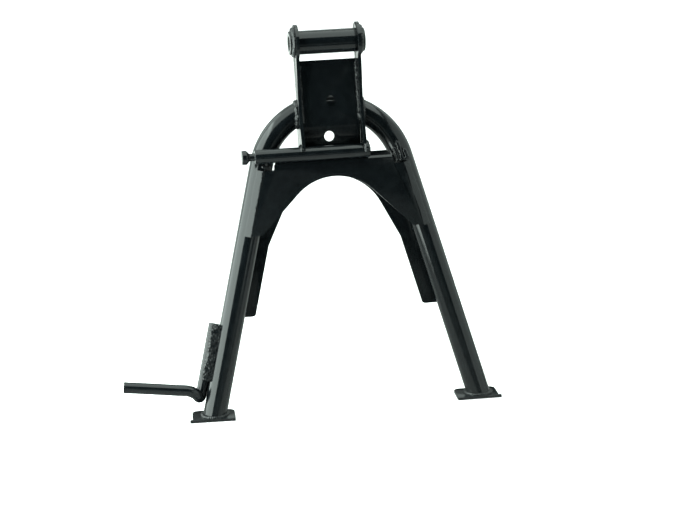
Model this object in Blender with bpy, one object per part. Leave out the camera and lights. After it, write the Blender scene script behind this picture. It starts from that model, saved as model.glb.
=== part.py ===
"""Centre stand of a motorcycle, welded from bent tube, folded sheet, plate and round bar.

One tube is bent into an arch and runs down as two splayed legs. Two folded or cut sheets tie the
legs together under the arch. Two lugs rise from the arch and carry the tube that the stand swings
on, with a folded bridge plate between them and a round bar below them whose turned head takes the
return springs. Each leg stands on a foot plate, and a bent rod on the left leg is the foot lever.

The pieces are drawn in the plane of the legs: X runs across, Z up the legs, Y towards their back,
with the centre of the arch at the origin. A matrix then leans that plane back, so that the soles lie
flat, and puts the middle of the pivot tube at the world's origin. Sizes are in metres.
"""
import math

import bmesh
import bpy
from mathutils import Matrix, Vector

MM = 0.001

# The whole stand
STAND_HEIGHT = 382.8 * MM  # from the pivot's axis down to the soles
LEAN = math.radians(13.0)  # the legs lean back from upright
SPLAY = math.radians(14.6)  # each leg's angle to the stand's middle plane
TOUCH = 0.3 * MM  # gap left between pieces that touch

# Leg tube
TUBE_OD = 25.0 * MM
TUBE_WALL = 2.0 * MM
ARCH_RADIUS = 77.7 * MM  # to the middle of the tube

# Pivot tube
PIVOT_ABOVE_ARCH = 66.2 * MM  # from the tube's axis at the crown of the arch, up the leg plane
PIVOT_FORWARD = 20.0 * MM  # in front of the legs' axis
PIVOT_OD = 25.0 * MM
PIVOT_BORE = 14.5 * MM
PIVOT_LENGTH = 80.0 * MM
PIVOT_CHAMFER = 0.8 * MM

# Lugs that carry the pivot tube
LUG_SPAN = 69.0 * MM  # over the outer faces of both
LUG_THICKNESS = 3.5 * MM
LUG_HEAD_RIM = 6.5 * MM  # material around the pivot tube
LUG_REAR = 5.0 * MM  # rear edge, in front of the legs' axis
LUG_FRONT = 28.5 * MM  # front edge at its top and its foot
LUG_WAIST = 6.5 * MM  # how far the front edge draws in
LUG_HEEL = 3.0 * MM  # how far the heel under the arch reaches behind the legs' axis
LUG_HEEL_RADIUS = 5.0 * MM
LUG_FOOT = 4.0 * MM  # its front edge ends this far above the cross bar's axis
LUG_SOLE = 1.0 * MM  # and its lower edge lies this far below it

# Sheet pieces
SHEET = 3.0 * MM
BRIDGE_ABOVE_ARCH = 47.3 * MM
BRIDGE_FOLD_BELOW_ARCH = 21.4 * MM
BRIDGE_TAB_LENGTH = 24.0 * MM
BRIDGE_TAB_INSET = 2.5 * MM
BRIDGE_TAB_ANGLE = math.radians(14.0)
BRIDGE_FOLD_RADIUS = 6.0 * MM
BRIDGE_HOLE = 10.8 * MM
BRIDGE_HOLE_PLACES = ((1.4 * MM, 3.9 * MM), (-2.6 * MM, -33.1 * MM))  # across, and above the arch
BRIDGE_RELIEF = 1.2 * MM  # the tab's step lies this far below the fold

# Cross bar with the head that holds the springs
BAR_OD = 15.0 * MM
BAR_BELOW_ARCH = 50.2 * MM
BAR_RIGHT_PAST_LUG = 3.5 * MM
BAR_LEFT_PAST_LEG = 11.3 * MM  # its full diameter ends this far outside the left leg's axis
BAR_NECK_OD = 8.0 * MM
BAR_NECK_LENGTH = 5.5 * MM
BAR_HEAD_LENGTH = 8.0 * MM
BAR_CHAMFER = 1.5 * MM

# Gussets, set out down from the cross bar
GUSSET_OPENING_INSET = 20.2 * MM  # its arched edge lies this far inside the arch's axis
GUSSET_OPENING_DROP = 25.5 * MM  # its crown
FRONT_GUSSET_DROP = 83.0 * MM
FRONT_GUSSET_EDGE = 3.0 * MM  # its sides stop this far inside the legs' axis
FRONT_GUSSET_FOLD_DROP = 10.5 * MM
FRONT_GUSSET_SHOULDER_DROP = 15.5 * MM
FRONT_FLANGE_INSET = 15.9 * MM  # its ends stop this far inside the legs' axis at the shoulder
FRONT_FLANGE_TAPER = 5.3 * MM  # and draw in by this much towards its free edge
FRONT_FLANGE_LENGTH = 11.2 * MM
FRONT_FLANGE_ANGLE = math.radians(50.0)
FRONT_FLANGE_RADIUS = 4.0 * MM
FRONT_NOTCH_RADIUS = 2.0 * MM

REAR_GUSSET_EXTRA = 1.2 * MM  # its opening is this much larger all round
REAR_GUSSET_TOP_DROP = 15.0 * MM
REAR_GUSSET_TOP_EDGE = 12.0 * MM  # up there its sides stop this far inside the legs' axis
REAR_GUSSET_SHOULDER_DROP = 27.5 * MM
REAR_GUSSET_KINK_DROP = 95.0 * MM
REAR_GUSSET_DROP = 169.5 * MM
REAR_GUSSET_FLARE = math.radians(26.8)
REAR_GUSSET_EDGE = 3.0 * MM  # its sides reach this far outside the legs' axis
REAR_GUSSET_CORNER = 4.0 * MM

# Foot plates
FOOT_THICKNESS = 3.0 * MM
FOOT_DEPTH = 30.0 * MM
FOOT_WIDTH = 48.0 * MM
LEFT_FOOT_OUT = 2.6 * MM  # how far outside the leg's axis its middle lies
RIGHT_FOOT_OUT = -0.9 * MM
LEFT_FOOT_TURN = math.radians(-4.0)  # the plates were welded on a little askew
RIGHT_FOOT_TURN = math.radians(-2.0)
FOOT_LIP = 3.4 * MM  # depth of the wider strip at the front
FOOT_LIP_OVERHANG = 2.8 * MM
FOOT_CORNER = 6.0 * MM

# Foot lever
LEVER_OD = 12.0 * MM
LEVER_AROUND = math.radians(21.4)  # it touches the leg this far round from its outer side
LEVER_LENGTH = 96.0 * MM  # its straight part starts this far above the foot plate
LEVER_ELBOW_RISE = 36.3 * MM  # and ends this far above it
LEVER_BENDS = (
    (3.0 * MM, 0.4 * MM, 10.5 * MM),
    (6.0 * MM, 3.4 * MM, 17.0 * MM),
    (10.6 * MM, 7.2 * MM, 12.4 * MM),
    (18.4 * MM, 8.9 * MM, 8.7 * MM),
    (31.0 * MM, 9.4 * MM, 6.9 * MM),
    (45.2 * MM, 8.9 * MM, 4.9 * MM),
    (85.2 * MM, 5.9 * MM, -0.2 * MM),
)  # how far out, forward and down from the elbow the tread's axis runs

# Weld beads, by radius or leg
FILLET = 4.2 * MM
FINE_FILLET = 2.4 * MM
ARCH_BEAD = 3.2 * MM
LEFT_BAR_BEAD = 2.6 * MM
RIGHT_BAR_BEAD = 3.4 * MM
BAR_LEG_BEAD = 3.0 * MM
FRONT_GUSSET_BEAD = 4.7 * MM
FRONT_GUSSET_BEAD_INSET = 1.2 * MM  # how far it sinks behind and inside the sheet's edge
SHOULDER_BEAD = 1.8 * MM
SHOULDER_BEAD_RISE = 4.2 * MM  # its line runs this far above the front gusset's shoulder
REAR_GUSSET_BEAD = 2.8 * MM
REAR_GUSSET_BEAD_OUT = 1.0 * MM  # its line runs this far outside the sheet's edge
FOOT_BEAD = 2.4 * MM
LEVER_BEAD = 5.0 * MM
LEVER_BEAD_SHIFT = 4.2 * MM  # round the leg's surface, in front of where the lever touches
RIPPLE = 4.0 * MM
OVERRUN = 20.0 * MM  # how far a cutting tool runs past what it cuts

# Heights up the plane of the legs, from the arch's centre
PIVOT_RISE = ARCH_RADIUS + PIVOT_ABOVE_ARCH
BRIDGE_TOP = ARCH_RADIUS + BRIDGE_ABOVE_ARCH
BRIDGE_FOLD = ARCH_RADIUS - BRIDGE_FOLD_BELOW_ARCH
BAR_RISE = ARCH_RADIUS - BAR_BELOW_ARCH
GUSSET_OPENING_CROWN = BAR_RISE - GUSSET_OPENING_DROP
FRONT_GUSSET_FOLD = BAR_RISE - FRONT_GUSSET_FOLD_DROP
FRONT_GUSSET_SHOULDER = BAR_RISE - FRONT_GUSSET_SHOULDER_DROP
FRONT_GUSSET_BOTTOM = BAR_RISE - FRONT_GUSSET_DROP
REAR_GUSSET_TOP = BAR_RISE - REAR_GUSSET_TOP_DROP
REAR_GUSSET_SHOULDER = BAR_RISE - REAR_GUSSET_SHOULDER_DROP
REAR_GUSSET_KINK = BAR_RISE - REAR_GUSSET_KINK_DROP
REAR_GUSSET_BOTTOM = BAR_RISE - REAR_GUSSET_DROP
GUSSET_OPENING_RADIUS = ARCH_RADIUS - GUSSET_OPENING_INSET


def clear_scene():
    """Remove whatever the file holds."""
    for thing in list(bpy.data.objects):
        bpy.data.objects.remove(thing, do_unlink=True)


def black_paint(name, roughness=0.16, colour=(0.012, 0.017, 0.017)):
    """Deep gloss black stove enamel with a faint green cast."""
    material = bpy.data.materials.new(name)
    material.use_nodes = True
    shader = material.node_tree.nodes["Principled BSDF"]
    shader.inputs["Base Color"].default_value = (*colour, 1.0)
    shader.inputs["Metallic"].default_value = 0.0
    shader.inputs["Roughness"].default_value = roughness
    return material


def add_object(name, mesh_builder, place, roughness=0.16):
    """Turn a bmesh into a named object with its own coat of paint."""
    mesh = bpy.data.meshes.new(name)
    bmesh.ops.recalc_face_normals(mesh_builder, faces=mesh_builder.faces)
    mesh_builder.to_mesh(mesh)
    mesh_builder.free()
    mesh.transform(place)
    mesh.shade_smooth()
    mesh.set_sharp_from_angle(angle=math.radians(32.0))
    piece = bpy.data.objects.new(name, mesh)
    bpy.context.collection.objects.link(piece)
    mesh.materials.append(black_paint(name + "_paint", roughness))
    return piece


def as_cutter(piece):
    """Keep an object only as a tool that others are cut with."""
    piece.hide_render = True
    piece.display_type = "WIRE"
    return piece


def cut(piece, *cutters):
    """Cut a piece by each of the tools."""
    for tool in cutters:
        modifier = piece.modifiers.new("cut_" + tool.name, "BOOLEAN")
        modifier.operation = "DIFFERENCE"
        modifier.solver = "EXACT"
        modifier.object = tool


def arc(centre, radius, start, end, steps):
    """Points on an arc in a plane, both ends included; angles in radians."""
    points = []
    for step in range(steps + 1):
        angle = start + (end - start) * step / steps
        points.append((centre[0] + radius * math.cos(angle), centre[1] + radius * math.sin(angle)))
    return points


def rings_to_mesh(rings, closed_path=False):
    """Skin a row of rings, each a loop of points, and cap the ends of an open row."""
    builder = bmesh.new()
    rows = [[builder.verts.new(point) for point in ring] for ring in rings]
    sides = len(rows[0])
    spans = len(rows) if closed_path else len(rows) - 1
    for index in range(spans):
        row = rows[index]
        following = rows[(index + 1) % len(rows)]
        for side in range(sides):
            after = (side + 1) % sides
            builder.faces.new((row[side], row[after], following[after], following[side]))
    if not closed_path:
        builder.faces.new(rows[0])
        builder.faces.new(rows[-1])
    bmesh.ops.triangulate(builder, faces=[face for face in builder.faces if len(face.verts) == 4])
    return builder


def sweep_rings(path, radius, sides, flat=1.0, closed_path=False):
    """Rings of a round section carried along a path without twist.

    radius is a length or a function of the distance run; flat squeezes the section's second axis.
    """
    points = [Vector(point) for point in path]
    count = len(points)
    tangents = []
    for index in range(count):
        if closed_path:
            ahead = points[(index + 1) % count] - points[index - 1]
        else:
            ahead = points[min(index + 1, count - 1)] - points[max(index - 1, 0)]
        tangents.append(ahead.normalized())
    across = tangents[0].orthogonal().normalized()
    if abs(tangents[0].y) < 0.9:
        side_way = tangents[0].cross(Vector((0.0, 1.0, 0.0)))
        across = side_way.normalized()
    rings = []
    run = 0.0
    for index, (point, tangent) in enumerate(zip(points, tangents)):
        if index:
            run += (point - points[index - 1]).length
        across = (across - tangent * across.dot(tangent)).normalized()
        second = tangent.cross(across)
        size = radius(run) if callable(radius) else radius
        ring = []
        for side in range(sides):
            angle = 2.0 * math.pi * side / sides
            ring.append(point + across * size * math.cos(angle) + second * size * flat * math.sin(angle))
        rings.append(ring)
    return rings


def turned(profile, centre, sides):
    """Rings of a piece turned about a line along X; the profile holds (x, radius) pairs."""
    rings = []
    for x, radius in profile:
        ring = []
        for side in range(sides):
            angle = 2.0 * math.pi * side / sides
            ring.append(Vector((x, centre[0] + radius * math.cos(angle), centre[1] + radius * math.sin(angle))))
        rings.append(ring)
    return rings


def extruded(outline, normal_axis, start, end):
    """A flat outline given thickness along X, Y or Z between start and end."""
    order = {"X": lambda a, b, c: (c, a, b), "Y": lambda a, b, c: (a, c, b), "Z": lambda a, b, c: (a, b, c)}
    lift = order[normal_axis]
    builder = bmesh.new()
    face = builder.faces.new([builder.verts.new(lift(a, b, start)) for a, b in outline])
    grown = bmesh.ops.extrude_face_region(builder, geom=[face])
    moved = [item for item in grown["geom"] if isinstance(item, bmesh.types.BMVert)]
    bmesh.ops.translate(builder, verts=moved, vec=Vector(lift(0.0, 0.0, end - start)))
    return builder


def trim(builder, point, normal):
    """Cut a closed mesh off on the side that the normal points to, and close the cut."""
    geometry = builder.verts[:] + builder.edges[:] + builder.faces[:]
    result = bmesh.ops.bisect_plane(builder, geom=geometry, plane_co=point, plane_no=normal, clear_outer=True)
    rim = [item for item in result["geom_cut"] if isinstance(item, bmesh.types.BMEdge)]
    bmesh.ops.holes_fill(builder, edges=rim)


def leg_axis(height, side=1.0):
    """Distance of a leg's axis from the middle plane at a height in the leg plane."""
    tangent_height = ARCH_RADIUS * math.sin(SPLAY)
    return side * (ARCH_RADIUS * math.cos(SPLAY) + (tangent_height - height) * math.tan(SPLAY))


def pivot_world_height():
    """Height of the pivot's axis over the arch's centre once the plane leans back."""
    return PIVOT_RISE * math.cos(LEAN) + PIVOT_FORWARD * math.sin(LEAN)


def plate_top_height():
    """Height of the foot plates' upper face, measured upright from the arch's centre."""
    return pivot_world_height() - STAND_HEIGHT + FOOT_THICKNESS


def foot_height():
    """Height of the foot plates' upper face along the legs' plane, from the arch's centre."""
    return plate_top_height() / math.cos(LEAN)


def leg_path(foot_extension):
    """Centre line of the bent tube from foot to foot, run past each foot by the extension."""
    lowest = foot_height() - foot_extension * math.cos(SPLAY)
    path = [(leg_axis(lowest, -1.0), 0.0, lowest)]
    for across, up in arc((0.0, 0.0), ARCH_RADIUS, math.pi - SPLAY, SPLAY, 34):
        path.append((across, 0.0, up))
    path.append((leg_axis(lowest, 1.0), 0.0, lowest))
    return path


def onto_plane(point, direction, normal, offset):
    """Slide a point along a direction until it lies in a plane."""
    distance = (offset - point.dot(normal)) / direction.dot(normal)
    return point + direction * distance


def leg_surface(radius, sides):
    """Rings of the bent tube's surface, with the end rings in the plane of the foot plates."""
    path = leg_path(0.0)
    rings = sweep_rings(path, radius, sides)
    upright = Vector((0.0, -math.sin(LEAN), math.cos(LEAN)))
    offset = plate_top_height() + TOUCH
    for end, inner in ((0, 1), (-1, -2)):
        direction = (Vector(path[end]) - Vector(path[inner])).normalized()
        start = [point for point in rings[inner]]
        rings[end] = [onto_plane(point, direction, upright, offset) for point in start]
    return rings


def build_leg_tube(place):
    """Hollow tube bent to an arch, with both ends cut flat to the foot plates."""
    sides = 28
    outer = leg_surface(TUBE_OD / 2, sides)
    inner = leg_surface(TUBE_OD / 2 - TUBE_WALL, sides)
    return add_object("leg_tube", rings_to_mesh(outer + inner[::-1], closed_path=True), place)


def build_leg_clearance(place):
    """Tool: the leg tube with the touching gap added all round."""
    rings = sweep_rings(leg_path(OVERRUN), TUBE_OD / 2 + TOUCH, 28)
    return as_cutter(add_object("leg_clearance", rings_to_mesh(rings), place))


def build_pivot_tube(place):
    """Thick tube that the pivot bolt's sleeve runs in."""
    half = PIVOT_LENGTH / 2
    outer = PIVOT_OD / 2
    bore = PIVOT_BORE / 2
    profile = [
        (-half, bore),
        (-half, outer - PIVOT_CHAMFER),
        (-half + PIVOT_CHAMFER, outer),
        (half - PIVOT_CHAMFER, outer),
        (half, outer - PIVOT_CHAMFER),
        (half, bore),
    ]
    rings = turned(profile, (-PIVOT_FORWARD, PIVOT_RISE), 36)
    return add_object("pivot_tube", rings_to_mesh(rings, closed_path=True), place)


def round_tool(name, centre, radius, half_length, place, sides=36):
    """Tool: a round bar along X."""
    rings = turned([(-half_length, radius), (half_length, radius)], centre, sides)
    return as_cutter(add_object(name, rings_to_mesh(rings), place))


def lug_outline():
    """Side view of a lug as (y, z): round head, waisted front edge, heel under the arch."""
    head_radius = PIVOT_OD / 2 + LUG_HEAD_RIM
    head = (-PIVOT_FORWARD, PIVOT_RISE)
    rear_angle = -math.acos((PIVOT_FORWARD - LUG_REAR) / head_radius)
    front_angle = math.pi + math.acos((LUG_FRONT - PIVOT_FORWARD) / head_radius)
    outline = arc(head, head_radius, rear_angle, front_angle, 26)
    waist_top = outline[-1][1] - 1.0 * MM
    waist_foot = BAR_RISE + LUG_FOOT
    steps = 10
    for step in range(steps + 1):
        share = step / steps
        height = waist_top + (waist_foot - waist_top) * share
        draw_in = LUG_WAIST * math.sin(math.pi * share) ** 2
        outline.append((-LUG_FRONT + draw_in, height))
    outline.append((-PIVOT_FORWARD, BAR_RISE - LUG_SOLE))
    arch_height = math.sqrt(ARCH_RADIUS ** 2 - (LUG_SPAN / 2) ** 2)
    heel = (LUG_HEEL - LUG_HEEL_RADIUS, BAR_RISE - LUG_SOLE + LUG_HEEL_RADIUS)
    outline += arc(heel, LUG_HEEL_RADIUS, -math.pi / 2, 0.0, 5)
    outline.append((LUG_HEEL, arch_height - 0.3 * TUBE_OD))
    outline.append((-LUG_REAR, arch_height + 0.25 * TUBE_OD))
    return outline


def build_lugs(place, tools):
    """Two plates that stand on the arch and the cross bar and hold the pivot tube."""
    outline = lug_outline()
    outer = LUG_SPAN / 2
    inner = outer - LUG_THICKNESS
    lugs = []
    for name, near, far in (("left_pivot_lug", -outer, -inner), ("right_pivot_lug", inner, outer)):
        lug = add_object(name, extruded(outline, "X", near, far), place)
        cut(lug, *tools)
        lugs.append(lug)
    return lugs


def fold(builder, line, radius, angle, upwards, steps=4):
    """Bend the part of a flat sheet beyond a line at height `line` towards the back.

    The sheet lies in one plane of constant y. Cuts are laid across the bend first, so that it
    stays round; upwards is +1 where the part above the line bends, and -1 for the part below.
    """
    arc_length = radius * angle
    for step in range(steps + 1):
        height = line + upwards * arc_length * step / steps
        geometry = builder.verts[:] + builder.edges[:] + builder.faces[:]
        bmesh.ops.bisect_plane(builder, geom=geometry, plane_co=(0.0, 0.0, height), plane_no=(0.0, 0.0, 1.0))
    for vertex in builder.verts:
        beyond = upwards * (vertex.co.z - line)
        if beyond <= 0.0:
            continue
        turned_by = min(beyond / radius, angle)
        straight = max(beyond - arc_length, 0.0)
        rise = radius * math.sin(turned_by) + straight * math.cos(angle)
        back = radius * (1.0 - math.cos(turned_by)) + straight * math.sin(angle)
        vertex.co.z = line + upwards * rise
        vertex.co.y += back


def flat_sheet(outline, y):
    """One flat face in the leg plane at a depth y."""
    builder = bmesh.new()
    builder.faces.new([builder.verts.new((across, y, up)) for across, up in outline])
    return builder


def sheet_object(name, builder, place):
    """A folded face made into sheet of even thickness about its middle."""
    piece = add_object(name, builder, place)
    modifier = piece.modifiers.new("sheet", "SOLIDIFY")
    modifier.thickness = SHEET
    modifier.offset = 0.0
    modifier.use_even_offset = True
    return piece


def front_sheet_middle():
    """Depth of the middle of a sheet that lies on the front of the leg tube."""
    return -(TUBE_OD / 2 + TOUCH + SHEET / 2)


def build_bridge_plate(place):
    """Folded sheet between the lugs, in front of the arch, with two holes."""
    half = LUG_SPAN / 2 - LUG_THICKNESS - TOUCH
    tab_half = half - BRIDGE_TAB_INSET
    tab_bottom = BRIDGE_FOLD - BRIDGE_TAB_LENGTH
    right_side = [
        (tab_half, tab_bottom),
        (tab_half, BRIDGE_FOLD - BRIDGE_RELIEF),
        (half, BRIDGE_FOLD - BRIDGE_RELIEF),
        (half, BRIDGE_TOP),
    ]
    left_side = [(-across, up) for across, up in reversed(right_side)]
    builder = flat_sheet(right_side + left_side, front_sheet_middle())
    fold(builder, BRIDGE_FOLD, BRIDGE_FOLD_RADIUS, BRIDGE_TAB_ANGLE, -1.0, steps=2)
    plate = sheet_object("bridge_plate", builder, place)
    near = front_sheet_middle() - OVERRUN
    far = front_sheet_middle() + OVERRUN
    for index, (across, up) in enumerate(BRIDGE_HOLE_PLACES):
        rim = arc((across, ARCH_RADIUS + up), BRIDGE_HOLE / 2, 0.0, 2.0 * math.pi * 27 / 28, 27)
        hole = extruded(rim, "Y", near, far)
        cut(plate, as_cutter(add_object("bridge_hole_%d" % (index + 1), hole, place)))
    return plate


def opening_arc(radius, flare, steps):
    """Right half of a gusset's arched opening, from the straight flank up to the apex."""
    centre = (0.0, GUSSET_OPENING_CROWN - GUSSET_OPENING_RADIUS)
    return arc(centre, radius, flare, math.pi / 2, steps)


def mirrored(right_side):
    """Close a half outline, given from the bottom inside to the middle, with its mirror image."""
    left_side = [(-across, up) for across, up in reversed(right_side) if abs(across) > 1e-9]
    return right_side + left_side


def edge_inside_leg(height, inset):
    """A line parallel to the leg's axis, set in from it."""
    return leg_axis(height) - inset / math.cos(SPLAY)


def build_front_gusset(place):
    """Folded sheet across the front of the legs, with a leaned-back flange along its top."""
    flank = math.radians(45.0)
    tangent = opening_arc(GUSSET_OPENING_RADIUS, flank, 1)[0]
    corner_across = tangent[0] + (tangent[1] - FRONT_GUSSET_BOTTOM) / math.tan(flank)
    apex_first = opening_arc(GUSSET_OPENING_RADIUS, flank, 9)[::-1]
    lower = apex_first + [
        (corner_across, FRONT_GUSSET_BOTTOM),
        (edge_inside_leg(FRONT_GUSSET_BOTTOM, FRONT_GUSSET_EDGE), FRONT_GUSSET_BOTTOM),
        (edge_inside_leg(FRONT_GUSSET_SHOULDER, FRONT_GUSSET_EDGE), FRONT_GUSSET_SHOULDER),
    ]
    flange_foot = leg_axis(FRONT_GUSSET_SHOULDER) - FRONT_FLANGE_INSET
    notch_centre = (flange_foot + FRONT_NOTCH_RADIUS, FRONT_GUSSET_SHOULDER + FRONT_NOTCH_RADIUS)
    notch = arc(notch_centre, FRONT_NOTCH_RADIUS, -math.pi / 2, -math.pi, 4)
    free_edge = FRONT_GUSSET_FOLD + FRONT_FLANGE_LENGTH
    upper = notch + [(flange_foot, FRONT_GUSSET_FOLD), (flange_foot - FRONT_FLANGE_TAPER, free_edge)]
    right_side = lower + upper
    builder = flat_sheet(mirrored(right_side), front_sheet_middle())
    fold(builder, FRONT_GUSSET_FOLD, FRONT_FLANGE_RADIUS, FRONT_FLANGE_ANGLE, 1.0)
    return sheet_object("front_gusset", builder, place)


def build_rear_gusset(place):
    """Flat plate across the back of the legs, running further down than the front one."""
    radius = GUSSET_OPENING_RADIUS + REAR_GUSSET_EXTRA
    apex_first = opening_arc(radius, REAR_GUSSET_FLARE, 12)[::-1]
    tangent = apex_first[-1]
    kink = (tangent[0] + (tangent[1] - REAR_GUSSET_KINK) * math.tan(REAR_GUSSET_FLARE), REAR_GUSSET_KINK)
    drop = REAR_GUSSET_KINK - REAR_GUSSET_BOTTOM - REAR_GUSSET_CORNER
    corner_start = (kink[0] + drop * math.tan(SPLAY), REAR_GUSSET_BOTTOM + REAR_GUSSET_CORNER)
    corner_centre = (corner_start[0] + REAR_GUSSET_CORNER, corner_start[1])
    corner = arc(corner_centre, REAR_GUSSET_CORNER, math.pi, 1.5 * math.pi, 4)
    outer = [
        (edge_inside_leg(REAR_GUSSET_BOTTOM, -REAR_GUSSET_EDGE), REAR_GUSSET_BOTTOM),
        (edge_inside_leg(REAR_GUSSET_SHOULDER, -REAR_GUSSET_EDGE), REAR_GUSSET_SHOULDER),
        (edge_inside_leg(REAR_GUSSET_SHOULDER, REAR_GUSSET_TOP_EDGE), REAR_GUSSET_TOP),
    ]
    right_side = apex_first + [kink] + corner + outer
    near = TUBE_OD / 2 + TOUCH
    return add_object("rear_gusset", extruded(mirrored(right_side), "Y", near, near + SHEET), place)


def bar_forward():
    """The cross bar's axis in front of the legs' axis: it lies on the front of the tube."""
    return TUBE_OD / 2 + TOUCH + BAR_OD / 2


def bar_left():
    """Where the cross bar's full diameter ends, outside the left leg."""
    return leg_axis(BAR_RISE) + BAR_LEFT_PAST_LEG


def build_cross_bar(place):
    """Round bar under the lugs; past the left leg it is turned down to a neck and a head."""
    full = BAR_OD / 2
    neck = BAR_NECK_OD / 2
    right_end = LUG_SPAN / 2 + BAR_RIGHT_PAST_LUG
    shoulder = -bar_left()
    neck_end = shoulder - BAR_NECK_LENGTH
    head_end = neck_end - BAR_HEAD_LENGTH
    profile = [
        (head_end, full - BAR_CHAMFER),
        (head_end + BAR_CHAMFER / 2, full),
        (neck_end - 2.0 * BAR_CHAMFER, full),
        (neck_end, neck),
        (shoulder, neck),
        (shoulder, full - BAR_CHAMFER / 3),
        (shoulder + BAR_CHAMFER / 3, full),
        (right_end - BAR_CHAMFER / 3, full),
        (right_end, full - BAR_CHAMFER / 3),
    ]
    rings = turned(profile, (-bar_forward(), BAR_RISE), 24)
    return add_object("cross_bar", rings_to_mesh(rings), place)


def foot_outline(side):
    """Plan of a foot plate about its middle, seen from above, for the left or right leg."""
    front = -FOOT_DEPTH / 2
    rear = FOOT_DEPTH / 2
    half = FOOT_WIDTH / 2
    body = half - FOOT_LIP_OVERHANG
    outline = [
        (-half, front),
        (half, front),
        (half, front + FOOT_LIP * 0.8),
        (body, front + FOOT_LIP),
    ]
    outline += arc((body - FOOT_CORNER, rear - FOOT_CORNER), FOOT_CORNER, 0.0, math.pi / 2, 5)
    outline += arc((FOOT_CORNER - half, rear - FOOT_CORNER), FOOT_CORNER, math.pi / 2, math.pi, 5)
    return [(side * across, along) for across, along in outline]


def foot_place(side, out, frame):
    """World position of the middle of a foot plate's upper face, set outside the leg's axis."""
    height = foot_height()
    return frame @ Vector((leg_axis(height, side) + side * out, 0.0, height))


def build_feet(frame):
    """Flat plates that the legs stand on, lying level."""
    for name, side, out, askew in (
        ("left_foot", -1.0, LEFT_FOOT_OUT, LEFT_FOOT_TURN),
        ("right_foot", 1.0, RIGHT_FOOT_OUT, RIGHT_FOOT_TURN),
    ):
        plate = extruded(foot_outline(side), "Z", -FOOT_THICKNESS, 0.0)
        place = Matrix.Translation(foot_place(side, out, frame)) @ Matrix.Rotation(askew, 4, "Z")
        add_object(name, plate, place)


def lever_top():
    """Height where the foot lever starts."""
    return foot_height() + LEVER_LENGTH


def lever_straight_end():
    """Height where the foot lever's straight part ends."""
    return foot_height() + LEVER_ELBOW_RISE


def smooth_through(points, steps):
    """Points on a smooth curve through the given ones."""
    result = []
    last = len(points) - 1
    for index in range(last):
        before = Vector(points[max(index - 1, 0)])
        start = Vector(points[index])
        end = Vector(points[index + 1])
        after = Vector(points[min(index + 2, last)])
        for step in range(steps):
            t = step / steps
            a = 2.0 * start
            b = (end - before) * t
            c = (2.0 * before - 5.0 * start + 4.0 * end - after) * t ** 2
            d = (3.0 * start - before - 3.0 * end + after) * t ** 3
            result.append(0.5 * (a + b + c + d))
    result.append(Vector(points[last]))
    return result


def beside_left_leg(reach, around, height):
    """A point at a distance from the left leg's axis, turned from its outer side to the back."""
    across = leg_axis(height, -1.0) - reach * math.cos(around) / math.cos(SPLAY)
    return (across, reach * math.sin(around), height)


def lever_point(height):
    """A point of the lever's axis where it runs down touching the left leg."""
    return beside_left_leg(TUBE_OD / 2 + TOUCH + LEVER_OD / 2, LEVER_AROUND, height)


def lever_path():
    """Centre line of the foot lever: down beside the leg, round the elbow, out to the left."""
    elbow = Vector(lever_point(lever_straight_end()))
    tread = [elbow - Vector(bend) for bend in LEVER_BENDS]
    return [Vector(lever_point(lever_top()))] + smooth_through([elbow] + tread, 5)


def build_foot_lever(place):
    """Bent round rod that is stepped on to raise the machine."""
    rings = sweep_rings(lever_path(), LEVER_OD / 2, 18)
    return add_object("foot_lever", rings_to_mesh(rings), place)


def build_lever_clearance(place):
    """Tool: the foot lever's upright with the touching gap added all round."""
    straight = [lever_point(lever_top() + OVERRUN), lever_point(lever_straight_end() - LEVER_OD / 4)]
    rings = sweep_rings(straight, LEVER_OD / 2 + TOUCH, 18)
    return as_cutter(add_object("lever_clearance", rings_to_mesh(rings), place))


def bead_size(size, seed):
    """Radius of a hand-laid bead along its run: even ripples and a slow wander."""
    def at(run):
        ripple = 0.07 * math.sin(2.0 * math.pi * run / RIPPLE)
        wander = 0.08 * math.sin(run / (7.0 * MM) + seed) + 0.05 * math.sin(run / (2.9 * MM) + 2.0 * seed)
        return size * (1.0 + ripple + wander)
    return at


def spaced(path, spacing):
    """A path's points set out evenly, about the spacing apart."""
    points = [Vector(point) for point in path]
    lengths = [(b - a).length for a, b in zip(points, points[1:])]
    total = sum(lengths)
    count = max(int(round(total / spacing)), 2)
    result = []
    for step in range(count + 1):
        target = total * step / count
        index = 0
        while index < len(lengths) - 1 and target > lengths[index]:
            target -= lengths[index]
            index += 1
        share = min(target / lengths[index], 1.0)
        result.append(points[index].lerp(points[index + 1], share))
    return result


def bead(path, size, seed, flat=1.0, sides=8, spacing=2.6 * MM, closed_path=False):
    """A weld bead along a path, with rounded ends where it is open."""
    points = spaced(path, spacing)
    if closed_path:
        points = points[:-1]
    base = bead_size(size, seed)
    total = sum((b - a).length for a, b in zip(points, points[1:]))

    def tapered(run):
        near_end = min(run, total - run) / (1.2 * size)
        return base(run) * (0.45 + 0.55 * min(max(near_end, 0.0), 1.0))

    chosen = base if closed_path else tapered
    return rings_to_mesh(sweep_rings(points, chosen, sides, flat, closed_path), closed_path)


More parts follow.
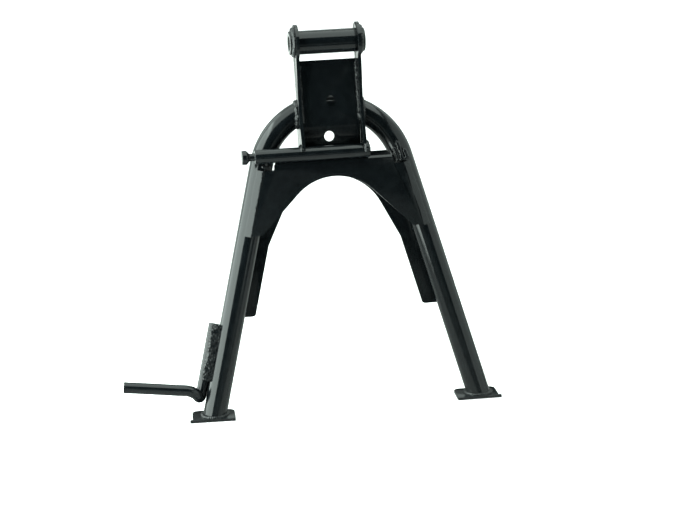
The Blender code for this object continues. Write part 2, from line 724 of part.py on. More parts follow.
def build_pivot_welds(place):
    """Fillets round the pivot tube on the outer face of each lug, heavier on top than below."""
    face = LUG_SPAN / 2 + TOUCH
    tube = PIVOT_OD / 2 + TOUCH
    for name, side in (("left_pivot_weld", -1.0), ("right_pivot_weld", 1.0)):
        rings = []
        for step in range(48):
            angle = 2.0 * math.pi * step / 48
            size = FILLET * (0.72 + 0.28 * math.sin(angle) + 0.05 * math.sin(16.0 * angle))
            profile = ((0.0, 0.0), (0.0, 1.0), (0.3, 0.86), (0.7, 0.5), (1.0, 0.0))
            ring = []
            for out, rise in profile:
                reach = tube + rise * size
                along = side * (face + out * size)
                up = PIVOT_RISE + reach * math.sin(angle)
                ring.append(Vector((along, reach * math.cos(angle) - PIVOT_FORWARD, up)))
            rings.append(ring)
        add_object(name, rings_to_mesh(rings, closed_path=True), place)


def build_bridge_welds(place):
    """Fillets in the corners between the bridge plate's front and the lugs."""
    inner = LUG_SPAN / 2 - LUG_THICKNESS - TOUCH
    front = front_sheet_middle() - SHEET / 2 - TOUCH
    for name, side, seed in (("left_bridge_weld", -1.0, 1.3), ("right_bridge_weld", 1.0, 2.1)):
        path = [(side * inner, front, BRIDGE_FOLD + 2.0 * MM), (side * inner, front, BRIDGE_TOP - 2.5 * MM)]
        builder = bead(path, FINE_FILLET, seed)
        trim(builder, (side * inner, 0.0, 0.0), (side, 0.0, 0.0))
        trim(builder, (0.0, front, 0.0), (0.0, 1.0, 0.0))
        add_object(name, builder, place)


def build_arch_welds(place, leg_clearance):
    """Beads on the lugs' outer faces where they wrap the front of the arch."""
    face = LUG_SPAN / 2 + TOUCH
    middle = math.sqrt(ARCH_RADIUS ** 2 - face ** 2)
    slope = math.asin(face / ARCH_RADIUS)
    radius = TUBE_OD / 2 + TOUCH
    for name, side, seed in (("left_arch_weld", -1.0, 0.4), ("right_arch_weld", 1.0, 3.3)):
        path = []
        for step in range(15):
            angle = math.radians(-72.0 + 144.0 * step / 14)
            path.append((side * face, -radius * math.cos(angle), middle + radius * math.sin(angle) / math.cos(slope)))
        builder = bead(path, ARCH_BEAD, seed)
        trim(builder, (side * face, 0.0, 0.0), (-side, 0.0, 0.0))
        cut(add_object(name, builder, place), leg_clearance)


def build_bar_welds(place, bar_clearance):
    """Beads that join the cross bar to the outer faces of the lugs."""
    face = LUG_SPAN / 2 + TOUCH
    reach = BAR_OD / 2 + TOUCH
    axis = (-bar_forward(), BAR_RISE)
    for name, side, start, end, size in (
        ("left_bar_weld", -1.0, 20.0, 165.0, LEFT_BAR_BEAD),
        ("right_bar_weld", 1.0, -20.0, 200.0, RIGHT_BAR_BEAD),
    ):
        path = []
        for step in range(13):
            angle = math.radians(start + (end - start) * step / 12)
            path.append((side * face, axis[0] + reach * math.cos(angle), axis[1] + reach * math.sin(angle)))
        builder = bead(path, size, 4.0 + side)
        trim(builder, (side * face, 0.0, 0.0), (-side, 0.0, 0.0))
        cut(add_object(name, builder, place), bar_clearance)


def build_bar_leg_weld(place, leg_clearance, bar_clearance):
    """Lump of weld under the cross bar where it lies on the left leg."""
    under_bar = run_at(BAR_RISE - BAR_OD / 2)
    turns = ((0.8 * MM, 2.7 * MM), (0.2 * MM, 5.4 * MM), (-0.4 * MM, 8.0 * MM))
    path = [tube_point(-1.0, under_bar + run, turn) for run, turn in turns]
    cut(add_object("bar_leg_weld", bead(path, BAR_LEG_BEAD, 0.9), place), leg_clearance, bar_clearance)


def build_front_gusset_welds(place, leg_clearance):
    """Long fillets from the front gusset's outer edges down to the legs."""
    middle = front_sheet_middle() + FRONT_GUSSET_BEAD_INSET
    for side_name, side in (("left", -1.0), ("right", 1.0)):
        top = FRONT_GUSSET_SHOULDER - 1.0 * MM
        path = []
        for height in (FRONT_GUSSET_BOTTOM + 1.0 * MM, top):
            across = edge_inside_leg(height, FRONT_GUSSET_EDGE - FRONT_GUSSET_BEAD_INSET)
            path.append((side * across, middle, height))
        builder = bead(path, FRONT_GUSSET_BEAD, 1.0 + side, flat=0.8)
        edge = side * (edge_inside_leg(0.0, FRONT_GUSSET_EDGE) + TOUCH / math.cos(SPLAY))
        inward = Vector((-side * math.cos(SPLAY), 0.0, -math.sin(SPLAY)))
        trim(builder, (edge, 0.0, 0.0), inward)
        trim(builder, (0.0, front_sheet_middle() - SHEET / 2, 0.0), (0.0, -1.0, 0.0))
        cut(add_object(side_name + "_front_gusset_weld", builder, place), leg_clearance)


def tube_point(side, run, turn):
    """A point just over the leg tube: run up its axis from where the arch starts, turn round it.

    turn is a distance round the tube, from its front towards the outside of the stand.
    """
    angle = SPLAY + max(run, 0.0) / ARCH_RADIUS
    outward = Vector((math.cos(angle), 0.0, math.sin(angle)))
    down_leg = Vector((math.sin(SPLAY), 0.0, -math.cos(SPLAY)))
    reach = TUBE_OD / 2 + TOUCH
    around = turn / reach
    point = outward * (ARCH_RADIUS + reach * math.sin(around)) + down_leg * max(-run, 0.0)
    point.y = -reach * math.cos(around)
    point.x *= side
    return point


def run_at(height):
    """How far along the tube's axis, up from where the arch starts, a height lies."""
    start = ARCH_RADIUS * math.sin(SPLAY)
    if height < start:
        return (height - start) / math.cos(SPLAY)
    return ARCH_RADIUS * (math.asin(height / ARCH_RADIUS) - SPLAY)


def build_shoulder_welds(place, leg_clearance, bar_clearance):
    """Beads on the tube over the front gusset's shoulders; the right one is weaved up the tube."""
    low = run_at(FRONT_GUSSET_SHOULDER + SHOULDER_BEAD_RISE)
    plain = ((0.0, -9.4), (0.7, -6.7), (0.0, -4.0), (0.7, -1.6), (0.0, 0.9))
    weaved = (
        (0.0, -9.8),
        (5.5, -9.8),
        (12.0, -9.8),
        (14.8, -8.7),
        (16.5, -6.8),
        (14.8, -4.9),
        (12.0, -3.8),
        (5.5, -3.8),
        (2.0, -3.3),
        (-0.2, -2.2),
        (-1.0, -0.9),
        (-0.2, 0.7),
        (2.6, 1.8),
        (6.0, 2.0),
    )
    for side_name, side, turns in (("left", -1.0, plain), ("right", 1.0, weaved)):
        points = [tube_point(side, low + run * MM, turn * MM) for run, turn in turns]
        builder = bead(smooth_through(points, 3), SHOULDER_BEAD, 2.0 + side, spacing=1.5 * MM)
        cut(add_object(side_name + "_shoulder_weld", builder, place), leg_clearance, bar_clearance)


def build_rear_gusset_welds(place, leg_clearance):
    """Fillets from the rear gusset's outer edges to the backs of the legs."""
    near = TUBE_OD / 2 + TOUCH
    for side_name, side in (("left", -1.0), ("right", 1.0)):
        path = []
        for height in (REAR_GUSSET_BOTTOM + 2.0 * MM, REAR_GUSSET_SHOULDER - 2.0 * MM):
            across = edge_inside_leg(height, -REAR_GUSSET_EDGE - REAR_GUSSET_BEAD_OUT)
            path.append((side * across, near, height))
        builder = bead(path, REAR_GUSSET_BEAD, 3.0 + side, sides=6, spacing=5.0 * MM)
        edge = side * (edge_inside_leg(0.0, -REAR_GUSSET_EDGE) + TOUCH / math.cos(SPLAY))
        inward = Vector((-side * math.cos(SPLAY), 0.0, -math.sin(SPLAY)))
        trim(builder, (edge, 0.0, 0.0), inward)
        cut(add_object(side_name + "_rear_gusset_weld", builder, place), leg_clearance)


def build_foot_welds(place, leg_clearance):
    """Beads round the legs on the foot plates."""
    upright = Vector((0.0, -math.sin(LEAN), math.cos(LEAN)))
    offset = plate_top_height() + TOUCH
    radius = TUBE_OD / 2 + TOUCH
    for side_name, side in (("left", -1.0), ("right", 1.0)):
        direction = Vector((side * math.sin(SPLAY), 0.0, -math.cos(SPLAY)))
        across = Vector((math.cos(SPLAY), 0.0, side * math.sin(SPLAY)))
        back = Vector((0.0, 1.0, 0.0))
        start = Vector((leg_axis(0.0, side), 0.0, 0.0))
        path = []
        for step in range(37):
            angle = 2.0 * math.pi * step / 36
            point = start + across * radius * math.cos(angle) + back * radius * math.sin(angle)
            path.append(onto_plane(point, direction, upright, offset))
        builder = bead(path, FOOT_BEAD, 1.7 + side, sides=8, spacing=3.6 * MM, closed_path=True)
        trim(builder, upright * offset, -upright)
        cut(add_object(side_name + "_foot_weld", builder, place), leg_clearance)


def build_lever_weld(place, leg_clearance, lever_clearance):
    """Uneven bead in the valley between the left leg and the foot lever."""
    around = LEVER_AROUND - LEVER_BEAD_SHIFT / (TUBE_OD / 2)
    ends = (lever_top() - 2.0 * MM, lever_straight_end() - 0.3 * MM)
    path = [beside_left_leg(TUBE_OD / 2, around, height) for height in ends]
    weld = add_object("foot_lever_weld", bead(path, LEVER_BEAD, 0.2), place)
    cut(weld, leg_clearance, lever_clearance)


def main():
    clear_scene()
    turn = Matrix.Rotation(-LEAN, 4, "X")
    pivot = turn @ Vector((0.0, -PIVOT_FORWARD, PIVOT_RISE))
    leg_plane = Matrix.Translation(-pivot) @ turn

    leg_clearance = build_leg_clearance(leg_plane)
    lever_clearance = build_lever_clearance(leg_plane)
    pivot_centre = (-PIVOT_FORWARD, PIVOT_RISE)
    bar_centre = (-bar_forward(), BAR_RISE)
    half = PIVOT_LENGTH
    pivot_clearance = round_tool("pivot_clearance", pivot_centre, PIVOT_OD / 2 + TOUCH, half, leg_plane)
    bar_clearance = round_tool("bar_clearance", bar_centre, BAR_OD / 2 + TOUCH, bar_left(), leg_plane, 24)

    build_leg_tube(leg_plane)
    build_pivot_tube(leg_plane)
    build_lugs(leg_plane, (leg_clearance, bar_clearance, pivot_clearance))
    build_bridge_plate(leg_plane)
    build_cross_bar(leg_plane)
    build_front_gusset(leg_plane)
    build_rear_gusset(leg_plane)
    build_feet(leg_plane)
    build_foot_lever(leg_plane)
    build_pivot_welds(leg_plane)
    build_bridge_welds(leg_plane)
    build_arch_welds(leg_plane, leg_clearance)
    build_bar_welds(leg_plane, bar_clearance)
    build_bar_leg_weld(leg_plane, leg_clearance, bar_clearance)
    build_front_gusset_welds(leg_plane, leg_clearance)
    build_shoulder_welds(leg_plane, leg_clearance, bar_clearance)
    build_rear_gusset_welds(leg_plane, leg_clearance)
    build_foot_welds(leg_plane, leg_clearance)
    build_lever_weld(leg_plane, leg_clearance, lever_clearance)


main()
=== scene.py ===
# %% [markdown]
# # Centre stand of a motorcycle
# A centre stand is a weldment: one bent tube, a few cut and folded sheets, a turned bar and a bent
# rod, joined by weld beads and then enamelled black all over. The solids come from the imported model.
# This lesson gives each of them the surface that paint and welding leave: rounded edges, true round
# tubes, rippled beads and a deep gloss.

import math
import random

import bpy
from mathutils import Matrix, Vector


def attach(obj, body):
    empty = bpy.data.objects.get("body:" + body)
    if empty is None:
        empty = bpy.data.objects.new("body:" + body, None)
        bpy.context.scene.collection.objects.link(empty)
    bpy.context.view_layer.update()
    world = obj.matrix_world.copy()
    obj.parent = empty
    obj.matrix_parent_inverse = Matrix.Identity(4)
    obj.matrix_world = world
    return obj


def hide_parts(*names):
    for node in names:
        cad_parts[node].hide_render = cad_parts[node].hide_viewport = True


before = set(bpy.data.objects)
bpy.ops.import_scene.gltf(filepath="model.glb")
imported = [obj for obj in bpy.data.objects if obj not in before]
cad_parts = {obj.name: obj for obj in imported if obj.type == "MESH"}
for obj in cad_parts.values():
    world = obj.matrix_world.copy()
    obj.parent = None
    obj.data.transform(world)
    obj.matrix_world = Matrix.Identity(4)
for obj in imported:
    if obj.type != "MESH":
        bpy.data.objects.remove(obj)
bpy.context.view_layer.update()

# %% [markdown]
# ## Sizes and the plane of the legs
# The stand was drawn flat: X runs across, Z up the legs, Y to their back, with the centre of the
# arch at the origin. One matrix leans that drawing back so that the soles lie level, and puts the
# pivot's middle at the world's origin. Working in the drawing's plane keeps every number simple.
# TOUCH is the clearance that the solids leave where two parts meet, CLOSE tells whether a point lies
# on a line, and points nearer than MERGE become one. The edges are the widths by which the sharp
# corners of each kind of part are broken.

# %% Sizes in metres
MM = 0.001
LEAN = math.radians(13.0)
SPLAY = math.radians(14.6)
STAND_HEIGHT = 382.8 * MM
TOUCH = 0.3 * MM
CLOSE = 0.05 * MM
MERGE = 0.01 * MM
SHEET = 3.0 * MM
SHEET_EDGE = 0.4 * MM
LUG_EDGE = 0.45 * MM
FOOT_EDGE = 0.5 * MM
TURNED_EDGE = 0.8 * MM
BAR_EDGE = 0.7 * MM
SAWN_EDGE = 0.5 * MM

TUBE_RADIUS = 12.5 * MM
TUBE_WALL = 2.0 * MM
ARCH_RADIUS = 77.7 * MM

PIVOT_RISE = 143.9 * MM
PIVOT_FORWARD = 20.0 * MM
PIVOT_LENGTH = 80.0 * MM
PIVOT_BORE = 14.5 * MM
LUG_FACE = 34.5 * MM
LUG_PLATE = 3.5 * MM

BAR_RADIUS = 7.5 * MM
BAR_RISE = 27.5 * MM
BAR_LEFT = 84.4 * MM
BAR_RIGHT = 38.0 * MM
BAR_FORWARD = TUBE_RADIUS + TOUCH + BAR_RADIUS

LEVER_RADIUS = 6.0 * MM
LEVER_AROUND = math.radians(21.4)
LEVER_REACH = TUBE_RADIUS + TOUCH + LEVER_RADIUS
LEVER_TOP = -145.27 * MM
LEVER_ELBOW = -204.97 * MM

PIVOT_ABOVE_ARCH = PIVOT_RISE * math.cos(LEAN) + PIVOT_FORWARD * math.sin(LEAN)
PLATE_TOP = PIVOT_ABOVE_ARCH - STAND_HEIGHT + SHEET

turn = Matrix.Rotation(-LEAN, 4, "X")
LEG_PLANE = Matrix.Translation(-(turn @ Vector((0.0, -PIVOT_FORWARD, PIVOT_RISE)))) @ turn


def leg_axis(height, side=1.0):
    """How far a leg's axis is from the middle, at a height in the drawing."""
    start = ARCH_RADIUS * math.sin(SPLAY)
    return side * (ARCH_RADIUS * math.cos(SPLAY) + (start - height) * math.tan(SPLAY))


print("sole below the pivot:", round(STAND_HEIGHT / MM, 1), "mm")

# %% [markdown]
# ## Camera
# A long lens from about two metres flattens the perspective, as in a catalogue picture. The camera
# stands a little to the left, looks down by some sixteen degrees and is tilted by less than two, so
# its three directions are written out and become the columns of its matrix.

# %% Camera
camera_right = Vector((0.9848, -0.1712, -0.0292)).normalized()
camera_up = Vector((0.0747, 0.2651, 0.9613)).normalized()
camera_back = camera_right.cross(camera_up).normalized()
camera_up = camera_back.cross(camera_right).normalized()

lens = bpy.data.cameras.new("catalogue_lens")
lens.sensor_width = 36.0
lens.lens = 101.26
lens.clip_end = 60.0
camera = bpy.data.objects.new("camera", lens)
bpy.context.scene.collection.objects.link(camera)
camera.matrix_world = (
    Matrix.Translation((-0.3175, -2.0295, 0.3425))
    @ Matrix((camera_right, camera_up, camera_back)).transposed().to_4x4()
)
bpy.context.scene.camera = camera
print("camera distance:", round(camera.matrix_world.translation.length, 3), "m")

# %% [markdown]
# ## Small helpers
# Operators act on whatever is selected, so each step first deselects everything. A finished piece
# has its place in its mesh and its object at the origin, rides on the one body of the welded stand,
# and stands for the plain solid that it was made over.


# %% Helpers for selecting and finishing
def only(piece=None):
    """Leave edit mode, deselect everything, then select one piece if it is given."""
    if bpy.context.object and bpy.context.object.mode != "OBJECT":
        bpy.ops.object.mode_set(mode="OBJECT")
    bpy.ops.object.select_all(action="DESELECT")
    if piece:
        piece.select_set(True)
        bpy.context.view_layer.objects.active = piece


def edit(piece, test=None):
    """Enter edit mode with the points that pass the test selected, or all of them."""
    only(piece)
    bpy.ops.object.mode_set(mode="EDIT")
    bpy.ops.mesh.select_mode(type="VERT")
    bpy.ops.mesh.select_all(action="SELECT" if test is None else "DESELECT")
    if test is not None:
        bpy.ops.object.mode_set(mode="OBJECT")
        for vertex in piece.data.vertices:
            vertex.select = test(vertex.co)
        bpy.ops.object.mode_set(mode="EDIT")


def apply_place(piece):
    """Move a piece's place, turn and size into its mesh."""
    only(piece)
    bpy.ops.object.transform_apply(location=True, rotation=True, scale=True)


def lean_back(piece):
    """Take a piece from the flat drawing to its place in the world."""
    piece.matrix_world = LEG_PLANE @ piece.matrix_world
    apply_place(piece)


def rounded(piece, width, segments=3, angle=30.0):
    """Break sharp edges by a small radius, as deburring and paint do."""
    bevel = piece.modifiers.new("broken_edges", "BEVEL")
    bevel.width = width
    bevel.segments = segments
    bevel.limit_method = "ANGLE"
    bevel.angle_limit = math.radians(angle)
    bevel.use_clamp_overlap = True
    only(piece)
    bpy.ops.object.modifier_apply(modifier=bevel.name)


def finished(piece, node, paint, sharp=32.0):
    """Shade a piece, paint it and let it stand for its solid."""
    only(piece)
    bpy.ops.object.shade_smooth_by_angle(angle=math.radians(sharp))
    piece.name = node + "_painted"
    piece.data.materials.clear()
    piece.data.materials.append(paint)
    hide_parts(node)
    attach(piece, "root")
    size = [round(side / MM, 1) for side in piece.dimensions]
    print(piece.name, "size", size, "mm,", len(piece.data.polygons), "faces")


# %% [markdown]
# ## Black stove enamel
# The real finish is black enamel, sprayed and baked. It levels out to a deep gloss, but not
# perfectly: it keeps a faint ripple called orange peel, with waves about 3 mm apart, and longer
# sags on round tube. Light then glides over it in slightly wavy bands. Its black has a trace of
# blue-green. Weld beads are painted too, but their spatter and scale show through as a finer
# roughness.
#
# One noise of large patches varies both the tone and the gloss, as a sprayed coat of uneven thickness
# does. Two more noises, for the sags and the orange peel, only tilt the surface: bump is enough for a
# relief of a fifth of a millimetre or less. Everything larger, such as broken edges and beads, is
# modelled.


# %% Colours and nodes
def from_hex(code):
    """An sRGB hex colour as the linear values that a shader wants."""
    channels = [int(code[index : index + 2], 16) / 255.0 for index in (1, 3, 5)]
    linear = [c / 12.92 if c <= 0.04045 else ((c + 0.055) / 1.055) ** 2.4 for c in channels]
    return (*linear, 1.0)


def add_node(tree, kind, settings=(), links=()):
    """Add a node, set its attributes and input values, and link inputs to other nodes' outputs."""
    node = tree.nodes.new(kind)
    for name, value in settings:
        if hasattr(node, name):
            setattr(node, name, value)
        else:
            node.inputs[name].default_value = value
    for name, source, output in links:
        tree.links.new(source.outputs[output], node.inputs[name])
    return node


print("a grey of half the light:", [round(value, 3) for value in from_hex("#bcbcbc")])

# %% A paint made of nodes
ENAMEL_DARK = "#080b0d"
ENAMEL_LIGHT = "#0c1012"
ENAMEL_IOR = 1.46
PATCH_SIZE = 9.0 * MM
SAG_LENGTH = 14.0 * MM


def enamel(name, peel_size, peel_height, sag_height, smoothest, roughest):
    """Black stove enamel; sizes in metres, then the lowest and the highest roughness."""
    material = bpy.data.materials.new(name)
    material.use_nodes = True
    tree = material.node_tree
    shader = tree.nodes["Principled BSDF"]
    shader.inputs["IOR"].default_value = ENAMEL_IOR
    place = add_node(tree, "ShaderNodeTexCoord")
    patches = add_node(
        tree,
        "ShaderNodeTexNoise",
        (("Scale", 1.0 / PATCH_SIZE), ("Detail", 3.0), ("Roughness", 0.6)),
        (("Vector", place, "Object"),),
    )
    tone = add_node(tree, "ShaderNodeValToRGB", (), (("Fac", patches, "Fac"),))
    tone.color_ramp.elements[0].position = 0.35
    tone.color_ramp.elements[0].color = from_hex(ENAMEL_DARK)
    tone.color_ramp.elements[1].position = 0.7
    tone.color_ramp.elements[1].color = from_hex(ENAMEL_LIGHT)
    tree.links.new(tone.outputs["Color"], shader.inputs["Base Color"])
    gloss = add_node(
        tree,
        "ShaderNodeMapRange",
        (("From Min", 0.3), ("From Max", 0.7), ("To Min", smoothest), ("To Max", roughest)),
        (("Value", patches, "Fac"),),
    )
    tree.links.new(gloss.outputs["Result"], shader.inputs["Roughness"])
    sags = add_node(
        tree,
        "ShaderNodeTexNoise",
        (("Scale", 1.0 / SAG_LENGTH), ("Detail", 1.0)),
        (("Vector", place, "Object"),),
    )
    peel = add_node(
        tree,
        "ShaderNodeTexNoise",
        (("Scale", 1.0 / peel_size), ("Detail", 2.0)),
        (("Vector", place, "Object"),),
    )
    sagging = add_node(
        tree,
        "ShaderNodeBump",
        (("Strength", 1.0), ("Distance", sag_height)),
        (("Height", sags, "Fac"),),
    )
    skin = add_node(
        tree,
        "ShaderNodeBump",
        (("Strength", 1.0), ("Distance", peel_height)),
        (("Height", peel, "Fac"), ("Normal", sagging, "Normal")),
    )
    tree.links.new(skin.outputs["Normal"], shader.inputs["Normal"])
    return material


# Drawn steel tube under enamel: long soft bands of light with slightly wavy borders.
tube_enamel = enamel("black_enamel_on_drawn_tube", 3.0 * MM, 0.03 * MM, 0.10 * MM, 0.10, 0.17)
# Cold-rolled sheet under enamel: flat and calm, a little less glossy than the tube.
sheet_enamel = enamel("black_enamel_on_sheet", 2.5 * MM, 0.008 * MM, 0.05 * MM, 0.13, 0.21)
# Enamel over a bead: small sparks of light from the spatter under the paint.
weld_enamel = enamel("black_enamel_over_weld", 1.2 * MM, 0.05 * MM, 0.20 * MM, 0.12, 0.22)
print("paints:", tube_enamel.name, sheet_enamel.name, weld_enamel.name)

# %% [markdown]
# ## Leg tube
# A tube bender holds one end, wraps the tube round a die and leaves both legs straight. It is made
# the same way here: a circle is spun round the arch's centre and its two ends are extruded down the
# legs. A curve with thickness would do too, but the spin shows where the bend starts. The solid's 28
# flat sides would show as stripes in gloss paint, so this tube gets 72.

# %% Bend the tube
only()
start = (-ARCH_RADIUS * math.cos(SPLAY), 0.0, ARCH_RADIUS * math.sin(SPLAY))
bpy.ops.mesh.primitive_circle_add(
    vertices=72, radius=TUBE_RADIUS, location=start, rotation=(0.0, SPLAY, 0.0)
)
leg_tube = bpy.context.object
apply_place(leg_tube)
edit(leg_tube)
bpy.ops.mesh.spin(steps=64, angle=math.pi - 2.0 * SPLAY, center=(0.0, 0.0, 0.0), axis=(0.0, -1.0, 0.0))
bpy.ops.object.mode_set(mode="OBJECT")

# %% Draw out both legs
LEG_RUN = 320.0 * MM
for side in (-1.0, 1.0):
    normal = Vector((side * math.sin(SPLAY), 0.0, -math.cos(SPLAY)))
    bend_end = Vector((side * ARCH_RADIUS * math.cos(SPLAY), 0.0, ARCH_RADIUS * math.sin(SPLAY)))
    rim = normal.dot(bend_end)
    edit(leg_tube, lambda co: abs(co.dot(normal) - rim) < CLOSE and co.x * side > 0.0)
    bpy.ops.mesh.extrude_region_move(TRANSFORM_OT_translate={"value": tuple(normal * LEG_RUN)})
only(leg_tube)
lean_back(leg_tube)
print("bent tube:", [round(side / MM, 1) for side in leg_tube.dimensions], "mm")

# %% [markdown]
# The feet lie level while the legs lean and splay, so each leg is sawn off at a double angle. One
# bisect by a level plane cuts both at once. The wall comes last, grown inwards by Solidify.

# %% Saw the ends level and give the tube its wall
SAW_HEIGHT = -STAND_HEIGHT + SHEET + TOUCH
edit(leg_tube)
bpy.ops.mesh.bisect(plane_co=(0.0, 0.0, SAW_HEIGHT), plane_no=(0.0, 0.0, -1.0), clear_outer=True)
bpy.ops.mesh.select_all(action="SELECT")
bpy.ops.mesh.remove_doubles(threshold=MERGE)
bpy.ops.mesh.normals_make_consistent(inside=False)
only(leg_tube)
wall = leg_tube.modifiers.new("wall", "SOLIDIFY")
wall.thickness = TUBE_WALL
wall.offset = -1.0
bpy.ops.object.modifier_apply(modifier=wall.name)
finished(leg_tube, "leg_tube", tube_enamel)

# %% [markdown]
# ## Pivot tube
# The stand swings on a bolt through this thick tube. A cylinder's two end faces are inset to the
# bore's edge, removed, and the two rims bridged, which leaves a real hole from end to end.

# %% Bore a cylinder
only()
bpy.ops.mesh.primitive_cylinder_add(
    vertices=96,
    radius=TUBE_RADIUS,
    depth=PIVOT_LENGTH,
    location=(0.0, -PIVOT_FORWARD, PIVOT_RISE),
    rotation=(0.0, math.pi / 2.0, 0.0),
)
pivot_tube = bpy.context.object
apply_place(pivot_tube)
edit(pivot_tube)
bpy.ops.mesh.select_mode(type="FACE")
bpy.ops.mesh.select_all(action="DESELECT")
bpy.ops.object.mode_set(mode="OBJECT")
for face in pivot_tube.data.polygons:
    face.select = abs(face.normal.x) > 0.9
bpy.ops.object.mode_set(mode="EDIT")
bpy.ops.mesh.inset(thickness=TUBE_RADIUS - PIVOT_BORE / 2.0)
bpy.ops.mesh.delete(type="ONLY_FACE")
bpy.ops.mesh.select_mode(type="EDGE")
bpy.ops.mesh.select_non_manifold()
bpy.ops.mesh.bridge_edge_loops()
bpy.ops.mesh.select_all(action="SELECT")
bpy.ops.mesh.normals_make_consistent(inside=False)
only(pivot_tube)
rounded(pivot_tube, TURNED_EDGE)
lean_back(pivot_tube)
finished(pivot_tube, "pivot_tube", tube_enamel)

# %% [markdown]
# ## Cross bar
# This is lathe work: a bar whose left end is turned down to a neck and left thick as a head, so that
# a spring's hook can't slide off. From a cylinder, the end face is inset to the neck's size and
# extruded, then widened as it is extruded again for the cone under the head.


# %% Turn the neck and the head
def select_end(piece, x):
    """Select the faces that lie flat at x."""
    edit(piece)
    bpy.ops.mesh.select_mode(type="FACE")
    bpy.ops.mesh.select_all(action="DESELECT")
    bpy.ops.object.mode_set(mode="OBJECT")
    for face in piece.data.polygons:
        face.select = abs(face.center.x - x) < MERGE and abs(face.normal.x) > 0.9
    bpy.ops.object.mode_set(mode="EDIT")


NECK_RADIUS = 4.0 * MM
NECK_LENGTH = 5.5 * MM
CONE_LENGTH = 3.0 * MM
HEAD_LENGTH = 5.0 * MM
only()
bpy.ops.mesh.primitive_cylinder_add(
    vertices=72,
    radius=BAR_RADIUS,
    depth=BAR_LEFT + BAR_RIGHT,
    location=((BAR_RIGHT - BAR_LEFT) / 2.0, -BAR_FORWARD, BAR_RISE),
    rotation=(0.0, math.pi / 2.0, 0.0),
)
cross_bar = bpy.context.object
apply_place(cross_bar)
select_end(cross_bar, -BAR_LEFT)
bpy.ops.mesh.inset(thickness=BAR_RADIUS - NECK_RADIUS)
bpy.ops.mesh.extrude_region_move(TRANSFORM_OT_translate={"value": (-NECK_LENGTH, 0.0, 0.0)})
bpy.ops.mesh.extrude_region_move(TRANSFORM_OT_translate={"value": (-CONE_LENGTH, 0.0, 0.0)})
widen = BAR_RADIUS / NECK_RADIUS
bpy.ops.transform.resize(value=(1.0, widen, widen), center_override=(0.0, -BAR_FORWARD, BAR_RISE))
bpy.ops.mesh.extrude_region_move(TRANSFORM_OT_translate={"value": (-HEAD_LENGTH, 0.0, 0.0)})
only(cross_bar)
rounded(cross_bar, BAR_EDGE)
lean_back(cross_bar)
finished(cross_bar, "cross_bar", tube_enamel)

# %% [markdown]
# ## Cut and folded sheet
# Lugs, bridge plate, gussets and feet are cut from flat stock, and their shapes in the solids are
# nearly right. What they lack is the small radius along each edge, where a highlight runs. A copy
# of each solid is merged, its flat faces are joined again, and every sharp edge is then rounded. Two
# plates are also stretched a little first: the bridge plate's tab, so that it reaches the lugs, and
# the ends of the front gusset's flange, so that the notches beside them are narrow.


# %% Round the edges of the plates
def rounded_copy(node, width, change=None):
    """A copy of a solid with its triangles joined to flat faces and its edges rounded."""
    piece = bpy.data.objects.new(node + "_copy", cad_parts[node].data.copy())
    bpy.context.scene.collection.objects.link(piece)
    if change:
        change(piece)
    edit(piece)
    bpy.ops.mesh.remove_doubles(threshold=MERGE)
    bpy.ops.mesh.dissolve_limited(angle_limit=math.radians(0.8))
    only(piece)
    rounded(piece, width)
    finished(piece, node, sheet_enamel)


# %% The two plates that are stretched
BRIDGE_HALF = 30.7 * MM
TAB_HALF = 28.2 * MM
FLANGE_START = BAR_RISE - 15.5 * MM
FLANGE_END_ZONE = 50.0 * MM
FLANGE_GROWTH = 2.4 * MM
TO_DRAWING = LEG_PLANE.inverted()


def widen_tab(piece):
    """Let the bridge plate's lower tab reach the lugs, as its welded sides do."""
    for vertex in piece.data.vertices:
        if abs(abs(vertex.co.x) - TAB_HALF) < CLOSE:
            vertex.co.x = math.copysign(BRIDGE_HALF, vertex.co.x)


def widen_flange(piece):
    """Let the front gusset's flange reach closer to the legs, which leaves narrow notches."""
    for vertex in piece.data.vertices:
        above = (TO_DRAWING @ vertex.co).z - FLANGE_START
        if abs(vertex.co.x) > FLANGE_END_ZONE and above > 2.0 * CLOSE:
            vertex.co.x += math.copysign(FLANGE_GROWTH, vertex.co.x)


print("tab wider by", round((BRIDGE_HALF - TAB_HALF) / MM, 1), "mm a side")
print("flange wider by", round(FLANGE_GROWTH / MM, 1), "mm a side")

# %% Finish the plates
for node in ("left_pivot_lug", "right_pivot_lug"):
    rounded_copy(node, LUG_EDGE)
rounded_copy("front_gusset", SHEET_EDGE, widen_flange)
rounded_copy("rear_gusset", SHEET_EDGE)
rounded_copy("bridge_plate", SHEET_EDGE, widen_tab)
for node in ("left_foot", "right_foot"):
    rounded_copy(node, FOOT_EDGE)

# %% [markdown]
# ## Foot lever
# The rod is bent cold round a small former: straight beside the leg, a tight elbow, and a long tread
# that rises a little. A line through the bends, given thickness, keeps the rod equally thick all
# along, as bending does. The ends are sawn, so their rims are only lightly broken. The same rod, with
# a radius that changes along its line, makes the weld beads later.


# %% A smooth line and a rod round it
def through(points, steps):
    """Points on a smooth curve through the given ones."""
    result = []
    last = len(points) - 1
    for index in range(last):
        before = Vector(points[max(index - 1, 0)])
        here = Vector(points[index])
        after = Vector(points[index + 1])
        beyond = Vector(points[min(index + 2, last)])
        for step in range(steps):
            t = step / steps
            bend = (2.0 * before - 5.0 * here + 4.0 * after - beyond) * t**2
            twist = (3.0 * here - before - 3.0 * after + beyond) * t**3
            result.append(0.5 * (2.0 * here + (after - before) * t + bend + twist))
    result.append(Vector(points[last]))
    return result


